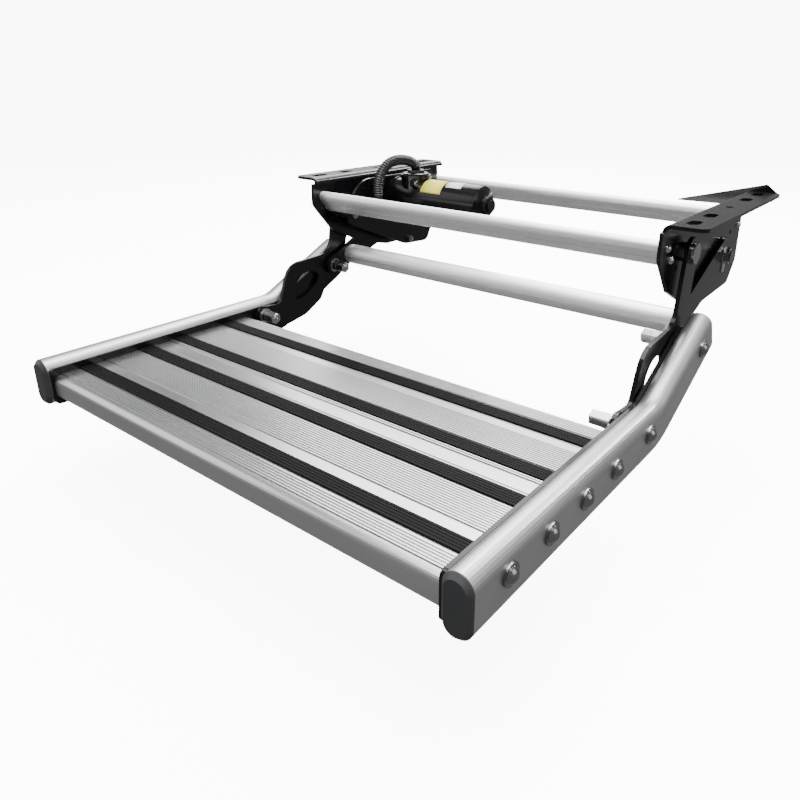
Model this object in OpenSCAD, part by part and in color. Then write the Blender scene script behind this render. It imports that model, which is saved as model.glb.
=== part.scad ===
// Electric fold-out step for a caravan door.
// Frame: X to the right, Y towards the vehicle, Z up. The origin is the centre of the
// mounting slots on the top faces of the two flanges. Drawn folded out, ready to step on.

/* [Tread] */
// Clear width of the tread between the two side plates
tread_w = 556; // [400:1:700]
// Depth of one tread plank, front to back
plank_d = 140; // [130:1:160]
// Thickness of a plank
plank_h = 26; // [24:1:34]
// Wall of the hollow planks
plank_wall = 2.2; // [1.6:0.1:3]
// Radius of the rounded outer edge of a plank
nose_r = 9; // [5:0.5:10]
// Outer edge of a plank to its first grip strip
nose_band = 32; // [28:1:40]
// Middle joint to the second grip strip of a plank
end_band = 16; // [14:0.5:20]
// Visible width of a grip strip
strip_w = 17; // [12:0.5:20]
// How far a grip strip stands above the ribs
strip_proud = 0.6; // [0.2:0.1:1.5]
// Distance between two fine ribs
rib_pitch = 3.2; // [2.4:0.1:5]
// Height of a fine rib
rib_h = 1.2; // [0.4:0.1:1.5]
// Flange top to tread top
drop = 182.5; // [160:0.5:220]
// Centre of the mounting slots to the rear edge of the tread
tread_back = 276; // [270:1:282]

/* [Side rails] */
// Width of the flat-oval rail tube
rail_w = 27; // [24:0.5:34]
// Height of the flat-oval rail tube
rail_h = 55.5; // [52:0.5:60]
// Wall of the rail tube
rail_wall = 2.5; // [1.5:0.1:4]
// Rail top above the tread top
rail_rise = 17; // [14:0.5:20]
// Rail tube in front of the tread's front edge
rail_front = 3; // [0:0.5:6]
// Tread rear edge to the point where the rail's centreline turns up
rail_turn = 53; // [48:1:58]
// Upward angle of the raised end of the rail
rail_angle = 25.5; // [20:0.5:30]
// Bend radius of the rail's centreline
rail_bend_r = 70; // [50:1:75]
// Length of the raised end, from the turn
rail_raised = 148; // [144:1:160]
// Thickness of the plastic cap on a rail's front end
cap_t = 5; // [4.5:0.5:12]
// Thickness of the steel side plate between rail and planks
side_plate_t = 4; // [3.5:0.5:5]
// Height of the side plate
side_plate_h = 44.5; // [40:0.5:48]
// Middle of the side plate below the rail's centreline
side_plate_low = 3; // [1:0.5:5]

/* [Linkage] */
// Front pivot on the bracket, from the origin
pivot_a_y = -92; // [-96:0.5:-88]
// Front pivot below the flange top
pivot_a_drop = 39.5; // [38:0.5:44]
// Rear pivot on the bracket, from the origin
pivot_b_y = 59; // [54:0.5:64]
// Rear pivot below the flange top
pivot_b_drop = 71.5; // [68:0.5:76]
// Tread pivot behind the rear edge of the tread
pivot_c_back = 19.5; // [17:0.5:23]
// Tread pivot below the tread top
pivot_c_drop = 3.5; // [1:0.5:7]
// Lock pivot along the raised end of the rail, from the turn
pivot_d_along = 118; // [114:0.5:121]
// Lock pivot above the centreline of the raised end
pivot_d_rise = 5.5; // [3:0.5:8]
// Thickness of the links
link_t = 5; // [4:0.5:6]
// Radius of the rear links' lower end, at the lock pivot
rear_link_low = 14; // [13:0.5:17]
// Radius of the rear links' upper end, at the rear pivot
rear_link_high = 23; // [20:0.5:26]
// Radius of the round upper end of a front link
link_eye_a = 18; // [16:0.5:20]
// Radius of the round lower end of a front link
link_eye_c = 13; // [12:0.5:15]
// Outside diameter of the tube that joins the rear links
tube_d = 30; // [26:0.5:32]
// Wall of that tube
tube_wall = 2.5; // [1.5:0.1:4]
// Tube axis from the lock pivot, along the rear link
tube_along = 39.5; // [37:0.5:44]
// Tube axis above the middle line of the rear link
tube_above = -2.4; // [-4:0.2:2]

/* [Top frame] */
// Sheet thickness of brackets and motor plate
plate_t = 4; // [3:0.5:5]
// Outside bend radius between plate and flange
bend_r = 8; // [6:0.5:10]
// Flange width, from the inner face of the plate
flange_w = 46; // [44:1:56]
// Flange length
flange_l = 306; // [302:1:330]
// Length of a mounting slot
slot_l = 26; // [20:0.5:28]
// Width of a mounting slot
slot_w = 13; // [9:0.5:14]
// Middle of the flange to the outer slots
slot_far = 124; // [118:1:128]
// Middle of the flange to the inner slots
slot_near = 70; // [50:1:90]
// Diameter of the hole in the middle of a flange
mid_hole_d = 9; // [6:0.5:12]
// Half width of the flat-oval cross bars
bar_r = 7.5; // [6:0.5:9]
// Distance between the two screw ports of a cross bar
bar_ports = 20; // [18:0.5:24]
// Wall of the cross bars
bar_wall = 2; // [1.2:0.1:2.4]
// Lean of the cross bars from upright
bar_lean = 40.5; // [30:0.5:45]
// Front end of the flanges to the front bar
front_bar_in = 18.5; // [16:0.5:22]
// Rear end of the flanges to the rear bar
rear_bar_in = 33; // [31:0.5:38]
// Middle of both bars below the flange top
bar_drop = 35; // [32:0.5:38]

/* [Drive] */
// Motor axis from the origin
motor_y = -3; // [-8:0.5:2]
// Motor axis below the flange top
motor_drop = 36.5; // [36:0.5:42]
// Radius of the motor can
can_r = 28; // [24:0.5:28]
// Length of the motor can
can_l = 108; // [90:1:120]
// Length of the gearbox
gearbox_l = 56; // [52:1:66]
// Radius of the gearbox body
gearbox_r = 28; // [26:0.5:28]
// Length of the crank on the gearbox shaft and of the lever it drives
crank_l = 26; // [24:0.5:28]
// Half width of crank, rod and lever
arm_r = 9; // [8:0.5:10]
// Thickness of crank, rod and lever
arm_t = 5; // [4:0.5:5.5]
// Outside diameter of the ribbed wiring conduit
conduit_d = 16; // [12:0.5:18]
// Depth of the conduit's ribs
conduit_rib = 1.3; // [0.6:0.1:2]
// Distance between two conduit ribs
conduit_pitch = 3.4; // [2.8:0.1:5]

/* [Fasteners] */
// Diameter of the tread and lock pivot bolts
bolt_d = 10; // [9:0.5:12]
// Diameter of the front pivot pins
pin_d = 14; // [12:0.5:16]
// Diameter of the rear pivot shafts
shaft_d = 16; // [14:0.5:18]
// Diameter of the tread bolts
tread_bolt_d = 8; // [6:0.5:9]
// Flange diameter of the domed bolt heads
head_d = 20; // [17:0.5:22]
// Height of the domed bolt heads
head_h = 7; // [5:0.5:9]
// Diameter of the small screws
screw_d = 6; // [5:0.5:7]
// Diameter of the bush that rests in the front link's notch
bush_d = 20; // [18:0.5:22]
// Distance between two tread bolts
tread_bolt_pitch = 60.2; // [56:0.2:64]

/* [Hidden] */
$fn = 64;

// Clearances
fit = 0.05;         // shaft in its hole, per side
slip = 0.2;         // plug in its tube, per side
run_gap = 1.5;      // between two plates that swing past each other
plate_gap = 1;      // between bracket plate and rear link
face_gap = 0.3;     // between faces of different bodies
arm_gap = 0.6;      // between crank, rod and lever
seat_gap = 0.4;     // under an end that is pushed into a seat
over = 1;           // how far a cutting tool runs past a face

// Layers along X, from the rail inwards, on the right-hand side
half = tread_w / 2;
rail_in = half + side_plate_t;
rail_out = rail_in + rail_w;
rail_mid = rail_in + rail_w / 2;
front_out = half - run_gap;
front_in = front_out - link_t;
rear_out = front_in - run_gap;
rear_in = rear_out - link_t;
plate_out = rear_in - plate_gap;
plate_in = plate_out - plate_t;
bush_flange = 5;
lever_out = plate_in - bush_flange - arm_gap;
lever_in = lever_out - arm_t;
rod_out = lever_in - arm_gap;
rod_in = rod_out - arm_t;
crank_out = rod_in - arm_gap;
crank_in = crank_out - arm_t;
mount_out = crank_in - run_gap;
mount_in = mount_out - plate_t;
can_start = mount_in - gearbox_l;
can_end = can_start - can_l;

// Places in the Y-Z plane
tread_z = -drop;
rear_edge_y = -tread_back;
front_y = rear_edge_y - 2 * plank_d;
rail_z = tread_z + rail_rise - rail_h / 2;
turn = [rear_edge_y + rail_turn, rail_z];
along = [cos(rail_angle), sin(rail_angle)];
across = [-sin(rail_angle), cos(rail_angle)];
A = [pivot_a_y, -pivot_a_drop];
B = [pivot_b_y, -pivot_b_drop];
C = [rear_edge_y + pivot_c_back, tread_z - pivot_c_drop];
D = turn + pivot_d_along * along + pivot_d_rise * across;
M = [motor_y, -motor_drop];
link_dir = (B - D) / norm(B - D);
link_up = [-link_dir.y, link_dir.x];
tube_at = D + tube_along * link_dir + tube_above * link_up;
front_bar = [front_bar_in - flange_l / 2, -bar_drop];
rear_bar = [flange_l / 2 - rear_bar_in, -bar_drop];
port_step = bar_ports / 2 * [-sin(bar_lean), cos(bar_lean)];

// Crank and lever stand side by side, a fixed angle past the line between their shafts
drive_dir = atan2(M.y - B.y, M.x - B.x);
crank_lead = 27;
crank_dir = [cos(drive_dir + crank_lead), sin(drive_dir + crank_lead)];
crank_end = M + crank_l * crank_dir;
lever_end = B + crank_l * crank_dir;

// Tread bolts hold the rail to the side plate; plank screws hold the plate to the planks
tread_mid_y = front_y + plank_d;
bolt_lead = 9;
bolt_ys = [for (i = [-1.5, -0.5, 0.5, 1.5]) tread_mid_y - bolt_lead + i * tread_bolt_pitch];
tread_bolt_drop = 5.5;
tread_bolt_z = tread_z - tread_bolt_drop;
port_pitch = 63;
port_drop = 17;
port_us = [for (i = [-0.5, 0.5]) plank_d * 0.55 + i * port_pitch];
port_ys = [for (u = port_us) each [front_y + u, 2 * tread_mid_y - front_y - u]];
port_z = tread_z - port_drop;

// Grip strips and the grooves that hold them
groove_lip = 1.2;
groove_deep = 3.4;
groove_under = 1.6;
strip_us = [nose_band, plank_d - end_band - strip_w];

// Hex sizes and head sizes
bolt_nut_r = 9.4;
pin_nut_r = 12;
nut_h = 8;
cap_nut_h = 14;
washer_t = 2;
screw_head_r = 5;
screw_head_h = 4;

// Turns a Y-Z outline into a plate between two X values
module plate_x(x0, x1) {
    translate([x0, 0, 0]) rotate([90, 0, 90]) linear_extrude(x1 - x0) children();
}

// Round bar along X at a point of the Y-Z plane
module rod_x(p, x0, x1, r) {
    translate([x0, p.x, p.y]) rotate([0, 90, 0]) cylinder(h = x1 - x0, r = r);
}

// Hexagon along X
module hex_x(p, x0, x1, r) {
    translate([x0, p.x, p.y]) rotate([0, 90, 0]) cylinder(h = x1 - x0, r = r, $fn = 6);
}

// Dome that bulges towards +X from x0, of base radius r and height h
module dome_x(p, x0, r, h) {
    ball = (r * r + h * h) / (2 * h);
    translate([x0, p.x, p.y]) rotate([0, 90, 0]) intersection() {
        translate([0, 0, h - ball]) sphere(r = ball);
        cylinder(h = h, r = r);
    }
}

// Domed head with a flange, seated at x0 and facing +X
module domed_head(p, x0) {
    flange_t = head_h * 0.3;
    rod_x(p, x0, x0 + flange_t, head_d / 2);
    dome_x(p, x0 + flange_t, head_d / 2 * 0.78, head_h - flange_t);
}

// The same on both sides of the step
module both_sides() {
    children();
    mirror([1, 0, 0]) children();
}

// A right-hand piece, or its mirror image when side is -1
module on_side(side) {
    mirror([side < 0 ? 1 : 0, 0, 0]) children();
}

// Outline helpers: a corner turned into an arc, and a polygon with every corner rounded
function unit(v) = v / norm(v);
function arc(c, r, a0, a1, n = 24) =
    [for (i = [0 : n]) let (a = a0 + (a1 - a0) * i / n) c + r * [cos(a), sin(a)]];
function corner_arc(p, q, s, r, n = 6) =
    let (u = unit(p - q), v = unit(s - q), h = acos(u * v) / 2)
    let (c = q + unit(u + v) * r / sin(h), a = q + u * r / tan(h), b = q + v * r / tan(h))
    let (a0 = atan2(a.y - c.y, a.x - c.x), a1 = atan2(b.y - c.y, b.x - c.x))
    let (turn_by = (a1 - a0 + 540) % 360 - 180)
    [for (i = [0 : n]) c + r * [cos(a0 + turn_by * i / n), sin(a0 + turn_by * i / n)]];
function rounded(pts, rs) =
    let (n = len(pts))
    [for (i = [0 : n - 1]) each corner_arc(pts[(i + n - 1) % n], pts[i], pts[(i + 1) % n], rs[i])];

// Flat-oval outline, long way up
module oval(w, h) {
    straight = h - w;
    square([w, straight], center = true);
    for (s = [-1, 1]) translate([0, s * straight / 2]) circle(d = w);
}

// Tread

// Fine ribs along a stretch of the deck, as bumps on the outline
function ribs(u0, u1) =
    let (n = floor((u1 - u0) / rib_pitch), lead = (u1 - u0 - n * rib_pitch) / 2)
    [for (i = [0 : n - 1]) let (a = u0 + lead + i * rib_pitch)
        each [[a, -rib_h], [a + rib_pitch * 0.2, 0], [a + rib_pitch * 0.6, 0], [a + rib_pitch * 0.8, -rib_h]]];

// Section of a plank: u runs from the rounded outer edge to the middle joint
module plank_section() {
    flat_band = 14;
    end_flat = 8;
    ribs_1 = ribs(nose_r, nose_band - groove_under);
    ribs_2 = ribs(nose_band + strip_w + flat_band, strip_us[1] - groove_under);
    ribs_3 = ribs(strip_us[1] + strip_w + groove_under, plank_d - end_flat);
    nose = [for (i = [0 : 8]) let (a = 180 - 90 * i / 8)
        [nose_r + nose_r * cos(a), -nose_r - rib_h + nose_r * sin(a)]];
    under_r = 4;
    under = [for (i = [0 : 4]) let (a = 270 - 90 * i / 4)
        [under_r + under_r * cos(a), under_r - plank_h + under_r * sin(a)]];
    deck = -rib_h - plank_wall;
    floor_z = -plank_h + plank_wall;
    webs = [port_us[0], (port_us[0] + port_us[1]) / 2, port_us[1]];
    cell_edges = concat([0], webs, [plank_d]);
    edge_wall = [plank_wall, plank_wall / 2, plank_wall / 2, plank_wall / 2, plank_wall];
    port_r = screw_d / 2 + plank_wall;
    difference() {
        polygon(concat(under, nose, ribs_1, ribs_2, ribs_3, [[plank_d, -rib_h], [plank_d, -plank_h]]));
        for (i = [0 : 3]) difference() {
            lo = cell_edges[i] + edge_wall[i] + (i == 0 ? nose_r / 2 : 0);
            hi = cell_edges[i + 1] - edge_wall[i + 1];
            translate([lo, floor_z]) square([hi - lo, deck - floor_z]);
            for (u = strip_us) translate([u - groove_under - plank_wall, -rib_h - groove_deep - plank_wall])
                square([strip_w + 2 * (groove_under + plank_wall), groove_deep + plank_wall]);
            for (u = port_us) translate([u, -port_drop]) circle(r = port_r);
        }
        for (u = strip_us) {
            translate([u, -rib_h - groove_deep]) square([strip_w, groove_deep + over]);
            translate([u - groove_under, -rib_h - groove_deep])
                square([strip_w + 2 * groove_under, groove_deep - groove_lip]);
        }
        for (u = port_us) translate([u, -port_drop]) circle(r = screw_d / 2 + fit);
    }
}

module plank() {
    translate([0, front_y, tread_z]) plate_x(-half, half) plank_section();
}

// Turns a front piece round to the rear plank
module turned() {
    translate([0, 2 * tread_mid_y, 0]) mirror([0, 1, 0]) children();
}

module plank_front() {
    color("#b9bbbd") plank();
}

module plank_rear() {
    color("#b9bbbd") turned() plank();
}

// Rubber strip with a foot under the groove's lips and fine grooves on top
module grip_strip(i) {
    foot_gap = 0.15;
    grooves = 4;
    groove_w = 0.8;
    groove_d = 0.5;
    step = strip_w / (grooves + 1);
    module strip() {
        translate([0, front_y, tread_z]) plate_x(-half, half) difference() {
            union() {
                translate([strip_us[i] + foot_gap, -rib_h - groove_deep])
                    square([strip_w - 2 * foot_gap, groove_deep + rib_h + strip_proud]);
                translate([strip_us[i] - groove_under + foot_gap, -rib_h - groove_deep])
                    square([strip_w + 2 * (groove_under - foot_gap), groove_deep - groove_lip - foot_gap]);
            }
            for (k = [1 : grooves]) translate([strip_us[i] + k * step - groove_w / 2, strip_proud - groove_d])
                square([groove_w, groove_d + over]);
        }
    }
    color("#1b1b1c") strip();
}

// Side rails

// Flat-oval section of the rail as points, x against height
function rail_section(inset = 0) =
    let (r = rail_w / 2 - inset, rise = (rail_h - rail_w) / 2, n = 16)
    [for (s = [1, -1], i = [0 : n]) let (a = 180 * i / n) s * [r * cos(a), rise + r * sin(a)]];

// Stations along the rail's bent line: place in the Y-Z plane and tilt
function rail_stations(y0) =
    let (tangent = rail_bend_r * tan(rail_angle / 2), bend_y = turn.x - tangent, n = 9)
    concat(
        [[[y0, rail_z], 0]],
        [for (i = [0 : n]) let (a = rail_angle * i / n)
            [[bend_y + rail_bend_r * sin(a), rail_z + rail_bend_r * (1 - cos(a))], a]],
        [[turn + rail_raised * along, rail_angle]]);

// Rings of a rail skin, square to the bent line
function rail_rings(y0, inset = 0) = [for (s = rail_stations(y0)) [for (p = rail_section(inset))
    [rail_mid + p.x, s[0].x - p.y * sin(s[1]), s[0].y + p.y * cos(s[1])]]];

// Hollow body between an outer and an inner stack of rings with equal counts
module ringed_tube(outer, inner) {
    n = len(outer);
    m = len(outer[0]);
    all_points = [for (ring = concat(outer, inner)) each ring];
    walls = [for (i = [0 : n - 2], k = [0 : m - 1])
        let (j = (k + 1) % m, o = i * m, q = (n + i) * m)
        each [[o + k, o + j, o + m + j, o + m + k], [q + j, q + k, q + m + k, q + m + j]]];
    ends = [for (k = [0 : m - 1]) let (j = (k + 1) % m, q = n * m, l = (n - 1) * m)
        each [[k, q + k, q + j, j], [l + j, q + l + j, q + l + k, l + k]]];
    halves = [for (f = concat(walls, ends)) each [[f[0], f[1], f[2]], [f[0], f[2], f[3]]]];
    polyhedron(points = all_points, faces = halves, convexity = 6);
}

module side_rail() {
    rail_start = front_y - rail_front;
    difference() {
        ringed_tube(rail_rings(rail_start), rail_rings(rail_start, rail_wall));
        for (y = bolt_ys) rod_x([y, tread_bolt_z], rail_in - over, rail_out + over, tread_bolt_d / 2 + fit);
        for (p = [C, D]) rod_x(p, rail_in - over, rail_out + over, bolt_d / 2 + fit);
    }
}

module side_rail_left() {
    color("#c3c5c7") on_side(-1) side_rail();
}

module side_rail_right() {
    color("#c3c5c7") on_side(1) side_rail();
}

// A point beside the rail's bent line: e above it at the turn, or at the raised end
function beside_turn(e) = turn + [-e * tan(rail_angle / 2), e];
function beside_end(e, back) = turn + (rail_raised - back) * along + e * across;

module side_plate() {
    end_back = 8;
    lo = -side_plate_low - side_plate_h / 2;
    hi = -side_plate_low + side_plate_h / 2;
    plate_front = front_y - rail_front + 1;
    outline = [
        [plate_front, rail_z + lo], beside_turn(lo), beside_end(lo, end_back), beside_end(hi, end_back),
        beside_turn(hi), [plate_front, rail_z + hi]
    ];
    corner = 6;
    bend = 40;
    difference() {
        plate_x(half, rail_in) polygon(rounded(outline, [corner, bend, corner * 2, corner * 2, bend, corner]));
        for (y = bolt_ys) rod_x([y, tread_bolt_z], half - over, rail_in + over, tread_bolt_d / 2 + fit);
        for (y = port_ys) flush_hole([y, port_z], half, rail_in);
        for (p = [C, D]) rod_x(p, half - over, rail_in + over, bolt_d / 2 + fit);
    }
}

module side_plate_left() {
    color("#141416") on_side(-1) side_plate();
}

module side_plate_right() {
    color("#141416") on_side(1) side_plate();
}

// Hole for a small flush screw from x0 to the face x1, where its head sits
module flush_hole(p, x0, x1) {
    r = screw_d / 2;
    rod_x(p, x0 - over, x1 + over, r + fit);
    translate([x1 - r, p.x, p.y]) rotate([0, 90, 0]) cylinder(h = r + fit, r1 = r + fit, r2 = 2 * r + 2 * fit);
}

// Small flush screw from x0 with its head in the face x1
module flush_screw(p, x0, x1) {
    r = screw_d / 2;
    rod_x(p, x0, x1 - r, r);
    translate([x1 - r, p.x, p.y]) rotate([0, 90, 0]) cylinder(h = r, r1 = r, r2 = 2 * r);
}

// Flat-oval block along +Y with a chamfered front edge
module chamfered_oval(w, h, t, bevel) {
    straight = h - w;
    for (s = [-1, 1]) translate([0, 0, s * straight / 2]) rotate([-90, 0, 0]) {
        cylinder(h = bevel, r1 = w / 2 - bevel, r2 = w / 2);
        translate([0, 0, bevel]) cylinder(h = t - bevel, r = w / 2);
    }
    side = [[-w / 2 + bevel, 0], [w / 2 - bevel, 0], [w / 2, bevel], [w / 2, t], [-w / 2, t], [-w / 2, bevel]];
    translate([0, 0, -straight / 2]) linear_extrude(straight) polygon(side);
}

cap_bevel = 4;
plug_l = 14;
plug_wall = 2;

// Plug that fits inside the rail tube, along +Y
module rail_plug() {
    inset = rail_wall + slip;
    rotate([-90, 0, 0]) linear_extrude(plug_l) difference() {
        oval(rail_w - 2 * inset, rail_h - 2 * inset);
        oval(rail_w - 2 * (inset + plug_wall), rail_h - 2 * (inset + plug_wall));
    }
}

module front_cap() {
    rail_start = front_y - rail_front;
    translate([rail_mid, rail_start - cap_t, rail_z]) chamfered_oval(rail_w, rail_h, cap_t, cap_bevel);
    translate([rail_mid, rail_start, rail_z]) rail_plug();
}

module front_cap_left() {
    color("#38393b") on_side(-1) front_cap();
}

module front_cap_right() {
    color("#38393b") on_side(1) front_cap();
}

module rail_end_cap() {
    end_t = 3;
    end_bevel = 1;
    at = turn + rail_raised * along;
    translate([rail_mid, at.x, at.y]) rotate([rail_angle, 0, 0]) {
        translate([0, end_t, 0]) rotate([0, 0, 180]) chamfered_oval(rail_w, rail_h, end_t, end_bevel);
        rotate([0, 0, 180]) rail_plug();
    }
}

module rail_end_cap_left() {
    color("#9a9c9e") on_side(-1) rail_end_cap();
}

module rail_end_cap_right() {
    color("#9a9c9e") on_side(1) rail_end_cap();
}

// Domed bolts through the rail into the side plate
module tread_bolts() {
    color("#a9abad") both_sides() for (y = bolt_ys) {
        domed_head([y, tread_bolt_z], rail_out);
        rod_x([y, tread_bolt_z], half, rail_out, tread_bolt_d / 2);
    }
}

// Flush screws through the side plate into the screw ports of the planks
module plank_screws() {
    screw_in = 28;
    color("#8c8e90") both_sides() for (y = port_ys) flush_screw([y, port_z], half - screw_in, rail_in);
}

// Linkage

// Outline of the front link, an S-shaped plate from pivot A to pivot C
notch_r = bush_d / 2 + face_gap;
lip_r = norm(D - C) - notch_r - 0.5;
lip_angle = atan2(D.y - C.y, D.x - C.x) - 6;
notch_open = 54;

module front_link_outline() {
    outline = [
        A + [-link_eye_a + 1, 5], A + [-29, -77.5], C + [50, 64], C + [31, 10], C + [1, link_eye_c - 1],
        C + [0, -link_eye_c], C + [42, -26], C + [80, -19], C + [112, -2],
        C + lip_r * [cos(lip_angle), sin(lip_angle)],
        D + 0.9 * notch_r * [cos(notch_open), sin(notch_open)], A + [2, -82], A + [9.5, -55.5],
        A + [link_eye_a - 1, -5]
    ];
    corner_rs = [1, 22, 30, 8, 1, 1, 25, 30, 12, 2, 1, 6, 20, 1];
    difference() {
        union() {
            polygon(rounded(outline, corner_rs));
            translate(A) circle(r = link_eye_a);
            translate(C) circle(r = link_eye_c);
        }
        translate(D) circle(r = notch_r);
        intersection() {
            translate(C + [88, 19]) circle(r = 28);
            translate(C + [69, 51]) circle(r = 43);
        }
    }
}

module front_link() {
    difference() {
        plate_x(front_in, front_out) front_link_outline();
        rod_x(A, front_in - over, front_out + over, pin_d / 2 + fit);
        rod_x(C, front_in - over, front_out + over, bolt_d / 2 + fit);
    }
}

module front_link_left() {
    color("#101012") on_side(-1) front_link();
}

module front_link_right() {
    color("#101012") on_side(1) front_link();
}

// Straight flat rear link, tapering from pivot B to the lock pivot
module rear_link() {
    toward_b = atan2(link_dir.y, link_dir.x);
    lean = acos((rear_link_low - rear_link_high) / norm(B - D));
    outline = concat(
        arc(B, rear_link_high, toward_b - lean, toward_b + lean),
        arc(D, rear_link_low, toward_b + lean, toward_b + 360 - lean));
    difference() {
        plate_x(rear_in, rear_out) polygon(outline);
        rod_x(B, rear_in - over, rear_out + over, shaft_d / 2 + fit);
        rod_x(D, rear_in - over, rear_out + over, bolt_d / 2 + fit);
        flush_hole(tube_at, rear_in, rear_out);
    }
}

module rear_link_left() {
    color("#101012") on_side(-1) rear_link();
}

module rear_link_right() {
    color("#101012") on_side(1) rear_link();
}

module cross_tube() {
    line_w = 0.8;
    line_d = 0.5;
    color("#d3d5d7") plate_x(-rear_in, rear_in) translate(tube_at) difference() {
        circle(d = tube_d);
        circle(d = tube_d - 2 * tube_wall);
        translate([-tube_d / 2, 0]) square([2 * line_d, line_w], center = true);
    }
}

tube_plug_l = 24;

module tube_plugs() {
    color("#6f7173") both_sides() difference() {
        rod_x(tube_at, rear_in - tube_plug_l, rear_in, tube_d / 2 - tube_wall - fit);
        rod_x(tube_at, rear_in - tube_plug_l - over, rear_in + over, screw_d / 2 + fit);
    }
}

// Flush screws that hold the tube to the rear links
module tube_screws() {
    color("#8c8e90") both_sides() flush_screw(tube_at, rear_in - tube_plug_l + 4, rear_out);
}

// Tread pivot bolts, which the front links turn on
module tread_pivot_bolts() {
    color("#a9abad") both_sides() {
        domed_head(C, rail_out);
        rod_x(C, front_in - washer_t - nut_h - cap_nut_h, rail_out, bolt_d / 2);
    }
}

// Hex nut along X with a bore
module nut(p, x0, x1, r, bore_r) {
    difference() {
        hex_x(p, x0, x1, r);
        rod_x(p, x0 - over, x1 + over, bore_r);
    }
}

// Washer, nut and cap nut, stacked inwards from x0
module nut_stack(p, x0, bore_r) {
    cap_wall = 3;
    washer_r = bolt_nut_r + 1;
    difference() {
        rod_x(p, x0 - washer_t, x0, washer_r);
        rod_x(p, x0 - washer_t - over, x0 + over, bore_r);
    }
    nut(p, x0 - washer_t - nut_h, x0 - washer_t, bolt_nut_r, bore_r);
    cap_x = x0 - washer_t - nut_h;
    nut(p, cap_x - cap_nut_h, cap_x, bolt_nut_r * 0.94, bore_r);
    translate([cap_x - cap_nut_h, 0, 0]) mirror([1, 0, 0]) dome_x(p, 0, bolt_nut_r * 0.75, cap_wall);
}

module tread_pivot_nuts() {
    color("#b4b6b8") both_sides() nut_stack(C, front_in - face_gap, bolt_d / 2 + fit);
}

// Lock bolts in the raised rail ends; they stop short of the rear links
module lock_bolts() {
    color("#a9abad") both_sides() {
        domed_head(D, rail_out);
        rod_x(D, rear_out + face_gap, rail_out, bolt_d / 2);
    }
}

module lock_bushes() {
    color("#2a2b2d") both_sides() difference() {
        rod_x(D, rear_out + face_gap, half, bush_d / 2);
        rod_x(D, rear_out + face_gap - over, half + over, bolt_d / 2 + fit);
    }
}

// Studs and nuts on the rear links at the lock pivot
module lock_studs() {
    color("#a9abad") both_sides() rod_x(D, rear_in - washer_t - nut_h - cap_nut_h, rear_out, bolt_d / 2);
}

module lock_nuts() {
    color("#b4b6b8") both_sides() nut_stack(D, rear_in, bolt_d / 2 + fit);
}

// Rear pivots

bush_wall = 4;

module rear_pivot_bushes() {
    color("#8a7a55") both_sides() difference() {
        union() {
            rod_x(B, plate_in, plate_out, shaft_d / 2 + bush_wall);
            rod_x(B, plate_in - bush_flange, plate_in, shaft_d / 2 + 2 * bush_wall);
        }
        rod_x(B, plate_in - bush_flange - over, plate_out + over, shaft_d / 2 + fit);
    }
}

shaft_nut_h = 7;
shaft_tail = 3;

module rear_shaft_left() {
    color("#77797b") on_side(-1) rod_x(B, lever_in, rear_out + shaft_nut_h + shaft_tail, shaft_d / 2);
}

module rear_shaft_right() {
    shaft_head_t = 4;
    head_x = plate_in - bush_flange - face_gap;
    color("#77797b") {
        rod_x(B, head_x, rear_out + shaft_nut_h + shaft_tail, shaft_d / 2);
        rod_x(B, head_x - shaft_head_t, head_x, shaft_d / 2 + bush_wall);
    }
}

// Nuts outside the rear links, each on a locking tab
module rear_shaft_nuts() {
    tab_t = 1.2;
    tab_w = 12;
    tab_l = 22;
    nut_r = 11;
    color("#b4b6b8") both_sides() {
        nut(B, rear_out + tab_t, rear_out + shaft_nut_h, nut_r, shaft_d / 2 + fit);
        difference() {
            plate_x(rear_out, rear_out + tab_t) translate(B) {
                circle(r = nut_r);
                translate([-tab_w / 2, -tab_l]) square([tab_w, tab_l]);
            }
            rod_x(B, rear_out - over, rear_out + tab_t + over, shaft_d / 2 + fit);
        }
    }
}

// Front pivots

pin_head_t = 4;
pin_head_r = 12;

module front_pivot_pins() {
    pin_in = plate_in - nut_h - 3;
    color("#8f9193") both_sides() {
        rod_x(A, pin_in, front_out + face_gap, pin_d / 2);
        rod_x(A, front_out + face_gap, front_out + face_gap + pin_head_t, pin_head_r);
    }
}

module front_pivot_spacers() {
    spacer_wall = 4;
    color("#2a2b2d") both_sides() difference() {
        rod_x(A, plate_out, front_in - face_gap, pin_d / 2 + spacer_wall);
        rod_x(A, plate_out - over, front_in + over, pin_d / 2 + fit);
    }
}

module front_pivot_nuts() {
    color("#b4b6b8") both_sides() nut(A, plate_in - nut_h, plate_in, pin_nut_r, pin_d / 2 + fit);
}

// Top frame

// Outline of the bracket's upright plate
module bracket_outline() {
    top = -bend_r;
    rear_y = rear_bar.x + 20;
    nose_y = front_bar.x - 27.5;
    outline = [
        [nose_y + 2, top], [nose_y + 1, front_bar.y - 3], [A.x - 32, A.y - 41], [A.x + 30, A.y - 69],
        [B.x - 59, B.y - 52], [B.x + 56, B.y - 50], [rear_y, B.y - 22], [rear_y - 2, top]
    ];
    polygon(rounded(outline, [1, 16, 14, 40, 40, 14, 10, 1]));
}

// Screw holes for both ends of the bars
function bar_screws() = [for (b = [front_bar, rear_bar], s = [-1, 1]) b + s * port_step];

slot_xs = plate_in + flange_w / 2;

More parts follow.
